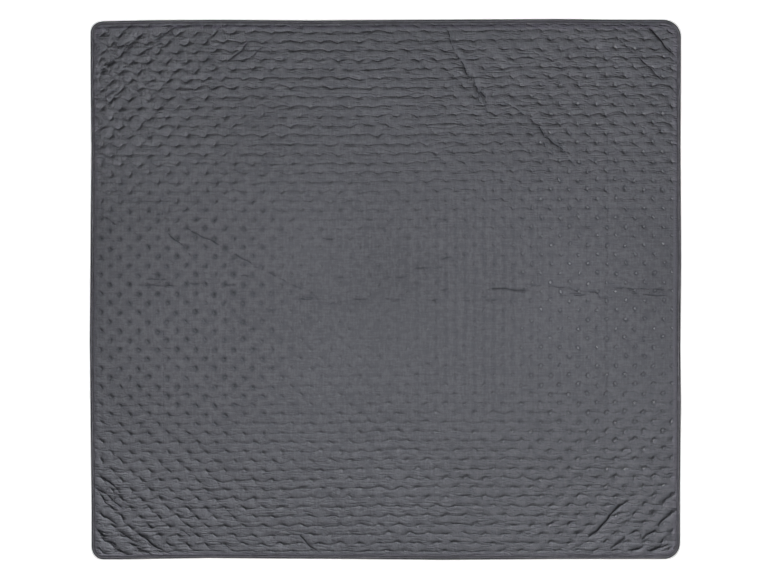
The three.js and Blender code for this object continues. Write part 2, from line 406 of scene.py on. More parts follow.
def pleated(across, up, seed):
    """Low rounded ridges with sharper hollows between them."""
    return 1.5 * np.abs(soft_noise(across, up, seed)) ** 0.7 - 1.0


def face_height(x, y, column, row, strengths, fold):
    """The upper face's height above the surface that the blanket lies on."""
    row_strength, rising, falling = strengths
    p = (column + row) / 2
    q = (column - row) / 2
    dp = p - np.round(p)
    dq = q - np.round(q)
    across = (dp + dq) * HALF_TACK
    up = (dp - dq) * ROW_PITCH
    out_x, out_y, outness = outward(x, y)

    # creases, steeper on the side of the blanket's middle
    offset = (row - np.round(row)) * ROW_PITCH
    wall = ROW_WALL * (1 + WALL_LEAN * np.clip(y / 250, -1, 1) * np.sign(offset))
    pressed = pressed_in(x, y)
    height = 1 - ROW_DEPTH * pressed * row_strength * crease(offset, wall)
    wall = SLANT_WALL * (1 + WALL_LEAN * np.clip((x - y) / 500, -1, 1) * np.sign(dq))
    height = height * (1 - SLANT_DEPTH * pressed * rising * crease(dq * SLANT_PITCH, wall))
    wall = SLANT_WALL * (1 + WALL_LEAN * np.clip((x + y) / 500, -1, 1) * np.sign(dp))
    height = height * (1 - SLANT_DEPTH * pressed * falling * crease(dp * SLANT_PITCH, wall))

    # the tacks' pits
    along_x, along_y, stretch = pull(x, y)
    reach = np.hypot((across * along_x + up * along_y) / stretch, up * along_x - across * along_y)
    reach = reach * (1 + 0.3 * soft_noise(x / 9, y / 9, 72))
    facing = (across * out_x + up * out_y) / np.maximum(np.hypot(across, up), 1)
    rim = PIT_RIM * (1 + PIT_LEAN * outness * facing)
    depth = 0.4 + 0.5 * dice(np.round(p), np.round(q), 34)
    depth = depth * (0.5 + 0.5 * outness) * pit_share(x, y)
    height = height * (1 - depth * (1 - smoothstep(PIT_BOTTOM, rim, reach)))

    # unevenness, wrinkles and folds
    uneven = 0.16 * soft_noise(column / 1.4, row / 1.1, 41) + 0.08 * soft_noise(x / 210, y / 160, 42)
    height = height * (1 + uneven)
    row_zone, rising_zone, falling_zone = zones(x, y)
    wrinkle = 0.5 * row_zone * pleated(x / 90, y / 21, 51)
    wrinkle = wrinkle + 0.5 * rising_zone * pleated((x + y) / 130, (y - x) / 30, 52)
    wrinkle = wrinkle + 0.5 * falling_zone * pleated((x - y) / 130, (y + x) / 30, 53)
    return TACK_HEIGHT + LOFT * height + (wrinkle + fold) * (0.3 + 0.7 * height)


# Panel

# The grid's lines in one pitch. Those of a row are closer on the side of the blanket's middle.
COLUMN_STEPS = (0, 4, 10.5, 24.9, 31.4)
UPPER_ROW_STEPS = (0, 3.4, 9.5, 20, 30.5)
LOWER_ROW_STEPS = (0, 3.8, 14.3, 24.8, 30.9)
BORDER_INSETS = (RIM_INSET, 13.6, 15.2, 18.4)
LATTICE_INSET = 20

# The face rises from the binding's groove over these insets, half steeply and half slowly.
SEAM_WALL = (12.0, 18.0)
SEAM_SLOPE = (14.0, 55.0)

# The sides are drawn in beside the border alone, up to these insets.
DRAWN_IN = (18, 46)

# The underside bends up to the rim at this inset, and its tacks are drawn up a little.
RIM_TURN = 15
UNDER_TACK_LIFT = 1.0


def grid_lines(reach, middle, middle_count, pitch, lower_steps, upper_steps):
    """Places of the grid's lines, and which of them the coarse underside uses too."""
    lattice = []
    for count in range(2 * middle_count + 1):
        for step in lower_steps if count < middle_count else upper_steps:
            place = middle + (count - middle_count) * pitch + step
            if abs(place) < reach - LATTICE_INSET:
                lattice.append((place, step == 0))
    low = [(inset - reach, True) for inset in BORDER_INSETS[:3]]
    low.append((BORDER_INSETS[3] - reach, False))
    high = [(-place, kept) for place, kept in reversed(low)]
    lines = low + lattice + high
    places = np.array([place for place, _ in lines])
    coarse = [index for index, (_, kept) in enumerate(lines) if kept]
    return places, coarse


def settled(x, y):
    """Grid places with the corners rounded and the sides drawn in."""
    radius = corner_radius(x, y)
    a = np.maximum(np.abs(x) - (WIDTH / 2 - radius), 0) / radius
    b = np.maximum(np.abs(y) - (LENGTH / 2 - radius), 0) / radius
    both = (a > 0) & (b > 0)
    shrink = np.where(both, np.maximum(a, b) / np.maximum(np.hypot(a, b), NO_GAP), 1)
    x = np.where(both, np.sign(x) * (WIDTH / 2 - radius + a * shrink * radius), x)
    y = np.where(both, np.sign(y) * (LENGTH / 2 - radius + b * shrink * radius), y)
    out_x, out_y, inset, dip = from_edge(x, y)
    drawn = dip * (1 - smoothstep(*DRAWN_IN, inset))
    return x - out_x * drawn, y - out_y * drawn, inset


def add_mesh(name, points, faces):
    """A smooth piece from points in millimetres."""
    mesh = bpy.data.meshes.new(name)
    mesh.from_pydata((np.asarray(points) * MM).tolist(), [], faces)
    mesh.validate()
    mesh.shade_smooth()
    piece = bpy.data.objects.new(name, mesh)
    bpy.context.scene.collection.objects.link(piece)
    return piece


def store_vectors(mesh, name, values):
    """Three numbers at each point of a mesh, for its material to read."""
    attribute = mesh.attributes.new(name, "FLOAT_VECTOR", "POINT")
    attribute.data.foreach_set("vector", np.asarray(values, dtype=np.float32).ravel())


def rows_of(*values):
    """One row of numbers for each place of a grid."""
    return np.stack(values, -1).reshape(-1, len(values))


def upper_faces(upper, column, row):
    """The upper face's triangles: each square is split along the line from tack to tack."""
    cell_column = np.floor((column[:-1, :-1] + column[1:, 1:]) / 2)
    cell_row = np.floor((row[:-1, :-1] + row[1:, 1:]) / 2)
    up = ((cell_column + cell_row) % 2 == 0).ravel()
    a = upper[:-1, :-1].ravel()
    b = upper[:-1, 1:].ravel()
    c = upper[1:, 1:].ravel()
    d = upper[1:, :-1].ravel()
    return np.concatenate([
        np.stack([a[up], b[up], c[up]], -1),
        np.stack([a[up], c[up], d[up]], -1),
        np.stack([a[~up], b[~up], d[~up]], -1),
        np.stack([b[~up], c[~up], d[~up]], -1),
    ]).tolist()


def lower_faces(index, coarse_x, coarse_y):
    """The underside's faces, each with all the points that lie along its sides."""
    faces = []
    for y0, y1 in zip(coarse_y, coarse_y[1:]):
        for x0, x1 in zip(coarse_x, coarse_x[1:]):
            ring = [index[y0, k] for k in range(x0, x1)]
            ring += [index[k, x1] for k in range(y0, y1)]
            ring += [index[y1, k] for k in range(x1, x0, -1)]
            ring += [index[k, x0] for k in range(y1, y0, -1)]
            faces.append([int(k) for k in reversed(ring) if k >= 0])
    return faces


def quilted_panel():
    """The whole cloth in one closed mesh: creased face, rim and coarse underside."""
    middle_x, middle_y = MIDDLE_TACK
    xs, coarse_x = grid_lines(WIDTH / 2, middle_x, MIDDLE_COLUMN, HALF_TACK, COLUMN_STEPS, COLUMN_STEPS)
    ys, coarse_y = grid_lines(LENGTH / 2, middle_y, MIDDLE_ROW, ROW_PITCH, LOWER_ROW_STEPS, UPPER_ROW_STEPS)
    straight_x, straight_y = np.meshgrid(xs, ys)
    column, row = lattice_at(straight_x, straight_y)
    move_x, move_y = wander(straight_x, straight_y, column, row)
    x, y, inset = settled(straight_x + move_x, straight_y + move_y)
    strengths = crease_strengths(x, y, column, row)
    fold, fold_distance, fold_sharp = fold_rise(x, y)
    face = face_height(x, y, column, row, strengths, fold)
    rise = (smoothstep(*SEAM_WALL, inset) + smoothstep(*SEAM_SLOPE, inset)) / 2
    z = SHOULDER_HEIGHT + (face - SHOULDER_HEIGHT) * rise
    upper = np.arange(x.size).reshape(x.shape)
    faces = upper_faces(upper, column, row)
    points = [rows_of(x, y, z)]
    # The lattice's third number: painted shade round the tacks on the left, and below 0 painted highlights on
    # the right.
    lattice = [rows_of(column, row, pit_shade_and_glint_at(x, y))]
    creases = [rows_of(*strengths)]
    seams = [rows_of(inset, fold_distance, fold_sharp)]

    # the rim, one ring below the upper face's border
    border = np.concatenate([upper[0, :-1], upper[:-1, -1], upper[-1, :0:-1], upper[:0:-1, 0]])
    ring = x.size + np.arange(len(border))
    rim = np.stack([border, ring, np.roll(ring, -1), np.roll(border, -1)], -1)
    faces += rim.tolist()
    points.append(np.insert(points[0][border, :2], 2, RIM_BOTTOM, axis=1))
    lattice.append(lattice[0][border] * (1, 1, 0))
    creases.append(creases[0][border])
    seams.append(seams[0][border])

    # underside, coarse, with its tacks drawn up a little
    lower = np.full(upper.shape, -1)
    lower.ravel()[border] = ring
    block = np.ix_(coarse_y[1:-1], coarse_x[1:-1])
    tack = (np.round(column[block]) + np.round(row[block])) % 2 == 0
    lower[block] = x.size + len(border) + np.arange(tack.size).reshape(tack.shape)
    faces += lower_faces(lower, coarse_x, coarse_y)
    lift = np.where(tack, UNDER_TACK_LIFT, 0.0)
    lift = np.where(inset[block] < LATTICE_INSET, 0, lift)
    lift = np.where(inset[block] < RIM_TURN, RIM_BOTTOM, lift)
    none = np.zeros_like(lift)
    points.append(rows_of(x[block], y[block], lift))
    lattice.append(rows_of(column[block], row[block], none))
    creases.append(rows_of(none, none, none))
    seams.append(rows_of(inset[block], none + NO_FOLD_NEAR, none))

    all_points = np.concatenate(points)
    piece = add_mesh("quilted_face", all_points, faces)
    x, y, _ = all_points.T
    store_vectors(piece.data, "lattice", np.concatenate(lattice))
    store_vectors(piece.data, "creases", np.concatenate(creases))
    store_vectors(piece.data, "seams", np.concatenate(seams))
    store_vectors(piece.data, "pull", rows_of(*pull(x, y)))
    store_vectors(piece.data, "zones", rows_of(*zones(x, y)))
    return piece


# Binding and its stitches

# The binding is a strip of tape folded over the edge and stitched down. Its section's insets and heights
# go over the top, round the outer edge, underneath and back inside.
BINDING_SECTION = [
    (14.0, 4.7), (14.2, 5.2), (13.2, 5.6), (12.0, 5.5), (11.0, 5.0), (10.1, 4.8),
    (9.2, 5.4), (7.6, 6.5), (6.2, 6.7), (4.8, 6.2), (2.9, 4.9), (1.2, 3.2),
    (0.2, 2.1), (0.0, 1.5), (0.3, 0.9), (1.3, 0.4), (2.8, 0.1), (6.0, 0.0),
    (14.0, 0.0), (14.2, 0.6), (13.8, 1.2), (8.0, 1.2), (2.8, 1.4), (2.4, 2.2),
    (3.2, 3.6), (8.0, 4.3),
]

# Steps along the sides, and their share round the corners.
BINDING_STEP = 7.0
CORNER_SHARE = 0.7


def outline_places(step):
    """Places about a step apart along the straight outline, and how far round each lies."""
    places = []
    corners = [(1, -1, "bottomRight"), (1, 1, "topRight"), (-1, 1, "topLeft"), (-1, -1, "bottomLeft")]
    arcs = []
    for k, (sx, sy, name) in enumerate(corners):
        radius = CORNER_RADII[name]
        steps = max(6, int(round(radius * math.pi / 2 / (step * CORNER_SHARE))))
        angles = np.radians(90 * (k - 1) + 90 * np.arange(steps + 1) / steps)
        centre = np.array([sx * (WIDTH / 2 - radius), sy * (LENGTH / 2 - radius)])
        arcs.append(centre + radius * np.stack([np.cos(angles), np.sin(angles)], -1))
    for k, arc in enumerate(arcs):
        start = arc[-1]
        end = arcs[(k + 1) % 4][0]
        steps = int(round(np.hypot(*(end - start)) / step))
        share = np.arange(1, steps)[:, None] / steps
        places.append(arc)
        places.append(start + (end - start) * share)
    places = np.concatenate(places)
    ahead = np.roll(places, -1, axis=0) - places
    travel = np.concatenate([[0], np.cumsum(np.hypot(*ahead.T))[:-1]])
    return places, travel


def moved_in(places, inset):
    """Places of the outline moved in from the true edge."""
    out_x, out_y, _, dip = from_edge(places[:, 0], places[:, 1])
    return places - np.stack([out_x, out_y], -1) * (inset + dip)[:, None]


def edge_binding():
    """The folded tape, with slight ripples, and gathered where it turns a corner."""
    places, travel = outline_places(BINDING_STEP)
    out_x, out_y, _, _ = from_edge(places[:, 0], places[:, 1])
    turning = np.minimum(np.abs(out_x), np.abs(out_y)) * 1.4
    rings = []
    for inset, height in BINDING_SECTION:
        ripple = 0.6 * soft_noise(travel / 15, np.full_like(travel, inset / 9), 61)
        ripple = ripple + 0.3 * soft_noise(travel / 8, np.full_like(travel, inset / 6), 62)
        gather = turning * 0.7 * np.sin(travel / 2.1 + inset / 5)
        top = np.clip((height - 3) / 3, 0, 1)
        inner = min(inset / 6, 1)
        edge = moved_in(places, np.full_like(travel, inset) + 0.25 * ripple)
        level = height + top * (ripple + gather * inner)
        rings.append(np.concatenate([edge, level[:, None]], -1))
    points = np.concatenate(rings)
    insets = np.repeat([inset for inset, _ in BINDING_SECTION], len(places))
    count = len(places)
    faces = []
    for r in range(len(rings)):
        this = r * count
        after = ((r + 1) % len(rings)) * count
        for k in range(count):
            n = (k + 1) % count
            faces.append([this + k, after + k, after + n, this + n])
    piece = add_mesh("folded_binding", points, faces)
    store_vectors(piece.data, "seams", rows_of(insets, insets * 0, insets * 0))
    return piece


STITCH_INSET = 10.1
STITCH_PITCH = 3.3
STITCH_LENGTH = 2.5
STITCH_RADIUS = 0.34
STITCH_SIDES = 5
STITCH_HEIGHT = 5.0

# Each stitch's rings: the place along it, the girth and the lift.
STITCH_RINGS = ((-1.0, 0.15, -0.35), (-0.7, 0.85, 0.1), (0.0, 1.0, 0.3), (0.7, 0.85, 0.1), (1.0, 0.15, -0.35))


def binding_stitches():
    """A row of short raised stitches near the binding's inner edge, joined in one mesh."""
    places, travel = outline_places(STITCH_PITCH)
    middles = moved_in(places, np.full_like(travel, STITCH_INSET))
    ahead = np.roll(middles, -1, axis=0) - np.roll(middles, 1, axis=0)
    ahead /= np.hypot(*ahead.T)[:, None]
    points = []
    faces = []
    angles = 2 * np.pi * np.arange(STITCH_SIDES) / STITCH_SIDES
    for (mx, my), (ax, ay) in zip(middles, ahead):
        first = len(points)
        for along, girth, lift in STITCH_RINGS:
            cx = mx + ax * along * STITCH_LENGTH / 2
            cy = my + ay * along * STITCH_LENGTH / 2
            for angle in angles:
                side = STITCH_RADIUS * girth * math.cos(angle)
                rise = STITCH_RADIUS * girth * math.sin(angle)
                points.append((cx - ay * side, cy + ax * side, STITCH_HEIGHT + lift + rise))
        for ring in range(len(STITCH_RINGS) - 1):
            for k in range(STITCH_SIDES):
                n = (k + 1) % STITCH_SIDES
                low = first + ring * STITCH_SIDES
                faces.append([low + k, low + n, low + n + STITCH_SIDES, low + k + STITCH_SIDES])
        last = first + (len(STITCH_RINGS) - 1) * STITCH_SIDES
        faces.append([first + k for k in reversed(range(STITCH_SIDES))])
        faces.append([last + k for k in range(STITCH_SIDES)])
    return add_mesh("binding_stitches", points, faces)


# Materials

# Colours of the cloth, the tape and the thread.
CLOTH_DARK = (0.084, 0.086, 0.098, 1)
CLOTH_LIGHT = (0.093, 0.095, 0.108, 1)
CLOTH_WORN = (0.121, 0.123, 0.138, 1)
# Painted shade, mixed into the cloth's colour along its creases, folds, ribs and dashes and round its tacks.
CLOTH_PAINTED_SHADE = (0.037, 0.037, 0.045, 1)
# Painted highlight on some tacks, mostly right of the middle.
CLOTH_PAINTED_GLINT = (0.30, 0.302, 0.32, 1)
# Painted light: pale lilac strips beside the binding, offsetting the shade where the face rises from it.
CLOTH_BORDER_LIGHT = (0.136, 0.132, 0.158, 1)
# Painted shade along the top edge, tinted purple.
CLOTH_TOP_SHADE = (0.072, 0.064, 0.090, 1)
TAPE_DARK = (0.046, 0.044, 0.053, 1)
TAPE_LIGHT = (0.104, 0.101, 0.117, 1)
TAPE_WEAVE = (0.11, 0.11, 0.124, 1)
# Painted highlight along the tape's crest.
TAPE_CREST_HIGHLIGHT = (0.142, 0.139, 0.155, 1)
# Painted shade on the tape.
TAPE_SHADE = (0.028, 0.027, 0.034, 1)
THREAD_DARK = (0.036, 0.036, 0.042, 1)
THREAD_LIGHT = (0.056, 0.057, 0.066, 1)
SHEEN_TINT = (0.75, 0.78, 0.88, 1)

# How wide the fine drawn lines of the creases and the folds are, in millimetres.
FINE_CREASE = 2.4
FINE_FOLD = 2.8

# Marks, by the distance from a tack's or a rib's middle: where each begins and where it is full. The spot and
# the pit wall go to the gloss and the bumps; the others are painted: a highlight on a tack, a ring and a
# patch of shade round it, and the shade of the ribs.
SPOT = (4.6, 2.8)
GLINT_DOT = (4.4, 1.8)
RING_OUTER = (12.5, 7.5)
RING_INNER = (3.4, 6.5)
PIT_WALL = (9.0, 3.0)
PIT_SMUDGE_SHADE = (17.5, 2.5)
RIB_SHADE = (10.0, 2.0)

# Strips along the border, by the inset from the edge: where each begins and where it is full. The top strip
# is painted shade, the right, left and beside-tape strips are painted light, and the gathers are bumps.
RIGHT_STRIP = (33.0, 25.0)
LEFT_STRIP = (25.0, 17.0)
TOP_STRIP = (44.0, 26.0)
TOP_STRIP_END = (16.0, 25.0)
BESIDE_TAPE = (20.5, 17.5)
GATHERED = (48.0, 22.0)

# Parts of the cloth near its sides, in metres from its middle.
AT_RIGHT = (1.0, 1.06)
AT_LEFT = (-1.0, -1.06)
NEAR_LEFT = (-0.95, -1.06)
AT_TOP = (0.9, 0.97)

SLANT = math.radians(45)


class Nodes:
    """Short calls for making and joining shader nodes."""

    def __init__(self, name):
        self.material = bpy.data.materials.new(name)
        self.material.use_nodes = True
        self.tree = self.material.node_tree
        self.shader = self.tree.nodes["Principled BSDF"]

    def set_constants(self, values):
        for name, value in values.items():
            self.shader.inputs[name].default_value = value

    def join(self, value, socket):
        if isinstance(value, bpy.types.NodeSocket):
            self.tree.links.new(value, socket)
        elif value is not None:
            socket.default_value = value

    def math(self, operation, *values, clamp=False):
        node = self.tree.nodes.new("ShaderNodeMath")
        node.operation = operation
        node.use_clamp = clamp
        for value, socket in zip(values, node.inputs):
            self.join(value, socket)
        return node.outputs[0]

    def times(self, first, *others):
        for other in others:
            first = self.math("MULTIPLY", first, other)
        return first

    def plus(self, first, *others):
        for other in others:
            first = self.math("ADD", first, other)
        return first

    def minus(self, first, second):
        return self.math("SUBTRACT", first, second)

    def larger(self, first, second):
        return self.math("MAXIMUM", first, second)

    def size(self, value):
        return self.math("ABSOLUTE", value)

    def fine_line(self, distance, steepness):
        """1 on a line, and less with the distance from it on either side."""
        return self.math("EXPONENT", self.times(self.size(distance), -steepness))

    def ramp(self, value, low, high, to_low=0.0, to_high=1.0, smooth=True):
        node = self.tree.nodes.new("ShaderNodeMapRange")
        node.interpolation_type = "SMOOTHSTEP" if smooth else "LINEAR"
        for given, socket in zip((value, low, high, to_low, to_high), node.inputs):
            self.join(given, socket)
        return node.outputs[0]

    def attribute(self, name):
        node = self.tree.nodes.new("ShaderNodeAttribute")
        node.attribute_name = name
        return node.outputs["Vector"]

    def split(self, vector):
        node = self.tree.nodes.new("ShaderNodeSeparateXYZ")
        self.join(vector, node.inputs[0])
        return node.outputs

    def together(self, x, y, z=0.0):
        node = self.tree.nodes.new("ShaderNodeCombineXYZ")
        for value, socket in zip((x, y, z), node.inputs):
            self.join(value, socket)
        return node.outputs[0]

    def object_place(self):
        return self.tree.nodes.new("ShaderNodeTexCoord").outputs["Object"]

    def scaled(self, vector, scale, turn=0.0):
        node = self.tree.nodes.new("ShaderNodeMapping")
        self.join(vector, node.inputs["Vector"])
        node.inputs["Scale"].default_value = scale
        node.inputs["Rotation"].default_value = (0, 0, turn)
        return node.outputs[0]

    def noise(self, vector, scale, detail=2.0, roughness=0.5):
        node = self.tree.nodes.new("ShaderNodeTexNoise")
        self.join(vector, node.inputs["Vector"])
        node.inputs["Scale"].default_value = scale
        node.inputs["Detail"].default_value = detail
        node.inputs["Roughness"].default_value = roughness
        return node.outputs["Fac"]

    def streaks(self, vector, scale_x, scale_y, detail=2.0, roughness=0.5):
        """Noise that changes faster along one side of the cloth than along the other."""
        return self.noise(self.scaled(vector, (scale_x, scale_y, 1.0)), 1.0, detail, roughness)

    def pleats(self, vector, scale_x, scale_y, turn=0.0):
        """Soft noise with thin sunk lines wandering through it."""
        noise = self.noise(self.scaled(vector, (scale_x, scale_y, 1.0), turn), 1.0, 2.0, 0.45)
        return self.minus(noise, self.fine_line(self.minus(noise, 0.5), 22.0))

    def random(self, vector):
        node = self.tree.nodes.new("ShaderNodeTexWhiteNoise")
        node.noise_dimensions = "3D"
        self.join(vector, node.inputs["Vector"])
        return node.outputs["Value"]

    def mix(self, share, first, second):
        node = self.tree.nodes.new("ShaderNodeMix")
        node.data_type = "RGBA"
        self.join(share, node.inputs[0])
        self.join(first, node.inputs[6])
        self.join(second, node.inputs[7])
        return node.outputs[2]

    def bump(self, height, distance, below=None):
        """A normal bent by a height, whose 1 stands for so many millimetres."""
        node = self.tree.nodes.new("ShaderNodeBump")
        node.inputs["Strength"].default_value = 1.0
        node.inputs["Distance"].default_value = distance * MM
        self.join(height, node.inputs["Height"])
        self.join(below, node.inputs["Normal"])
        return node.outputs[0]


class Cloth(Nodes):
    """The brushed quilted cloth, with the values that its colour, gloss and relief share."""

    def __init__(self):
        super().__init__("brushed quilted cloth")
        self.place = self.object_place()
        self.place_x, self.place_y, _ = self.split(self.place)
        # The lattice's third number says where tacks get painted shade, and below 0 painted highlights.
        self.column, self.row, tack_shade_and_glint = self.split(self.attribute("lattice"))
        self.inset, fold_distance, fold_sharp = self.split(self.attribute("seams"))
        self.shaded_pit_zone = self.larger(tack_shade_and_glint, 0.0)
        self.painted_glint = self.larger(self.times(tack_shade_and_glint, -1.0), 0.0)
        p = self.times(self.plus(self.column, self.row), 0.5)
        q = self.times(self.minus(self.column, self.row), 0.5)
        self.near_p = self.math("ROUND", p)
        self.near_q = self.math("ROUND", q)
        dp = self.minus(p, self.near_p)
        dq = self.minus(q, self.near_q)
        self.chance = self.random(self.together(self.near_p, self.near_q, 0.0))
        self.reach = tack_reach(self, dp, dq)
        self.spot = self.ramp(self.reach, *SPOT)
        self.lines = crease_lines(self, dp, dq)
        self.fold_line = fold_lines(self, fold_distance, fold_sharp)
        mottle = self.noise(self.place, 62.0, 3.0, 0.6)
        brushed = self.plus(self.streaks(self.place, 22.0, 150.0), self.streaks(self.place, 150.0, 26.0))
        self.mottle = self.plus(self.times(mottle, 0.42), self.times(brushed, 0.29))
        # Near the top edge: where the strip of painted shade and the extra gathers go.
        top_strip = self.ramp(self.inset, *TOP_STRIP)
        self.far_up = self.times(top_strip, self.ramp(self.place_y, *AT_TOP, 0.0, 0.75))


def tack_reach(n, dp, dq):
    """The distance from the nearest tack's middle, shorter along the pleats, and uneven."""
    across = n.times(n.plus(dp, dq), HALF_TACK)
    up = n.times(n.minus(dp, dq), ROW_PITCH)
    along_x, along_y, stretch = n.split(n.attribute("pull"))
    along = n.plus(n.times(across, along_x), n.times(up, along_y))
    along = n.math("DIVIDE", along, stretch)
    aside = n.minus(n.times(up, along_x), n.times(across, along_y))
    reach = n.math("SQRT", n.plus(n.times(along, along), n.times(aside, aside)))
    wobble = n.noise(n.place, 120.0, 2.0)
    return n.plus(reach, n.ramp(wobble, 0.3, 0.7, -2.0, 2.0, smooth=False))


def crease_lines(n, dp, dq):
    """Fine lines along the rows and the two diagonals."""
    row_strength, rising, falling = n.split(n.attribute("creases"))
    from_row = n.minus(n.row, n.math("ROUND", n.row))
    lines = n.times(n.fine_line(from_row, ROW_PITCH / FINE_CREASE), row_strength)
    for distance, strength in ((dq, rising), (dp, falling)):
        line = n.fine_line(distance, SLANT_PITCH / FINE_CREASE)
        lines = n.plus(lines, n.times(line, strength))
    return lines


def fold_lines(n, distance, sharp):
    """Fine lines along the folds, broken into dashes where a fold is shallow."""
    line = n.times(n.fine_line(distance, 1 / FINE_FOLD), sharp)
    dashes = n.ramp(n.streaks(n.place, 26.0, 60.0, 1.0), 0.44, 0.54, 0.12, 1.0)
    return n.times(line, n.larger(dashes, n.ramp(sharp, 2.5, 3.4)))


def set_cloth_colour(n):
    """A dark grey with a faint broad unevenness, paler in a random mottle of rubbed pile, with painted shade
    and painted highlights added by the tack, border and crease marks.
    """
    broad = n.noise(n.place, 2.6, 3.0, 0.55)
    colour = n.mix(n.ramp(broad, 0.3, 0.7), CLOTH_DARK, CLOTH_LIGHT)
    colour = n.mix(n.ramp(n.mottle, 0.42, 0.6, 0.0, 0.95), colour, CLOTH_WORN)
    colour = tack_colour(n, colour)
    colour = border_colour(n, colour)
    # Painted shade along the creases, the folds, the ribs and the dashes.
    colour = n.mix(crease_shade(n), colour, CLOTH_PAINTED_SHADE)
    n.join(colour, n.shader.inputs["Base Color"])


def tack_colour(n, colour):
    """A pressed tack: on the left a broad patch of painted shade round it, partly pressed pile; on the right
    a small painted highlight in a ring of painted shade.
    """
    # A ring of painted shade round each tack, stronger where the tacks get painted highlights.
    ring = n.times(n.ramp(n.reach, *RING_OUTER), n.ramp(n.reach, *RING_INNER))
    ring = n.times(ring, n.ramp(n.noise(n.place, 75.0, 1.0), 0.4, 0.6))
    ring = n.times(ring, n.ramp(n.painted_glint, 0.0, 1.0, 0.12, 0.55))
    colour = n.mix(ring, colour, CLOTH_PAINTED_SHADE)
    # A broad patch of painted shade round the tacks on the left, partly pressed pile.
    pit_smudge_shade = n.times(n.ramp(n.reach, *PIT_SMUDGE_SHADE), n.ramp(n.chance, 0.0, 1.0, 0.34, 0.72))
    colour = n.mix(n.times(pit_smudge_shade, n.shaded_pit_zone), colour, CLOTH_PAINTED_SHADE)
    # Painted highlights on a few tacks, mostly right of the middle.
    glint_chance = n.random(n.together(n.near_p, n.near_q, 7.0))
    glint_chance = n.math("POWER", glint_chance, 3.5)
    glint_dot = n.ramp(n.reach, *GLINT_DOT)
    glint_dot = n.times(glint_dot, n.ramp(glint_chance, 0.0, 1.0, 0.13, 1.0, smooth=False))
    painted_glint = n.larger(n.painted_glint, n.times(n.shaded_pit_zone, 0.12))
    return n.mix(n.times(glint_dot, painted_glint), colour, CLOTH_PAINTED_GLINT)


def border_colour(n, colour):
    """Along the top edge an uneven dark strip of painted shade, tinted purple; along the others pale strips
    of painted light, tinted lilac, that offset the shade where the face rises from the binding.
    """
    # Painted shade along the top edge, tinted purple, in an uneven strip.
    uneven = n.ramp(n.streaks(n.place, 20.0, 42.0), 0.36, 0.56, 0.2, 1.0)
    uneven = n.times(uneven, n.ramp(n.inset, *TOP_STRIP_END))
    colour = n.mix(n.times(n.far_up, uneven), colour, CLOTH_TOP_SHADE)
    # Pale strips of painted light on the right, the left and beside the tape.
    right = n.times(n.ramp(n.inset, *RIGHT_STRIP), n.ramp(n.place_x, *AT_RIGHT, 0.0, 0.75))
    left = n.times(n.ramp(n.inset, *LEFT_STRIP), n.ramp(n.place_x, *AT_LEFT, 0.0, 0.6))
    beside = n.ramp(n.inset, *BESIDE_TAPE, 0.0, 0.9)
    beside = n.times(beside, n.ramp(n.place_y, *AT_TOP, 1.0, 0.1))
    beside = n.times(beside, n.ramp(n.place_x, *NEAR_LEFT, 1.0, 0.15))
    return n.mix(n.larger(n.plus(right, left), beside), colour, CLOTH_BORDER_LIGHT)


def crease_shade(n):
    """Painted shade in the creases, the folds, the upright ribs right of the middle and short dashes: how
    dark each makes the cloth.
    """
    rib_shade_zone = n.times(n.ramp(n.place_x, -0.05, 0.25), n.ramp(n.place_x, 0.75, 0.45))
    rib_shade_zone = n.times(rib_shade_zone, n.ramp(n.size(n.place_y), 0.6, 0.3))
    rib_shade = n.size(n.minus(n.column, n.math("ROUND", n.column)))
    wobble = n.ramp(n.noise(n.place, 34.0, 2.0), 0.3, 0.7, -4.0, 4.0)
    rib_shade = n.plus(n.times(rib_shade, HALF_TACK), wobble)
    rib_shade = n.times(n.ramp(rib_shade, *RIB_SHADE), rib_shade_zone)
    dash_shade = n.size(n.minus(n.streaks(n.place, 7.0, 46.0, 1.0), 0.5))
    dash_shade = n.times(n.ramp(dash_shade, 0.022, 0.004), n.ramp(n.noise(n.place, 22.0, 1.0), 0.56, 0.64))
    shade = n.plus(n.times(n.lines, 0.62), n.times(n.fold_line, 0.3))
    shade = n.plus(shade, n.times(rib_shade, 0.17))
    return n.math("ADD", shade, n.times(dash_shade, 0.3), clamp=True)


def set_cloth_gloss(n):
    """Matt, apart from the pressed spots."""
    rough = n.ramp(n.mottle, 0.3, 0.7, 0.78, 0.9)
    rough = n.minus(rough, n.times(n.spot, n.ramp(n.chance, 0.35, 0.95, 0.05, 0.62)))
    n.join(rough, n.shader.inputs["Roughness"])
    n.set_constants({
        "Sheen Weight": 0.12,
        "Sheen Roughness": 0.5,
        "Sheen Tint": SHEEN_TINT,
        "Specular IOR Level": 0.35,
    })


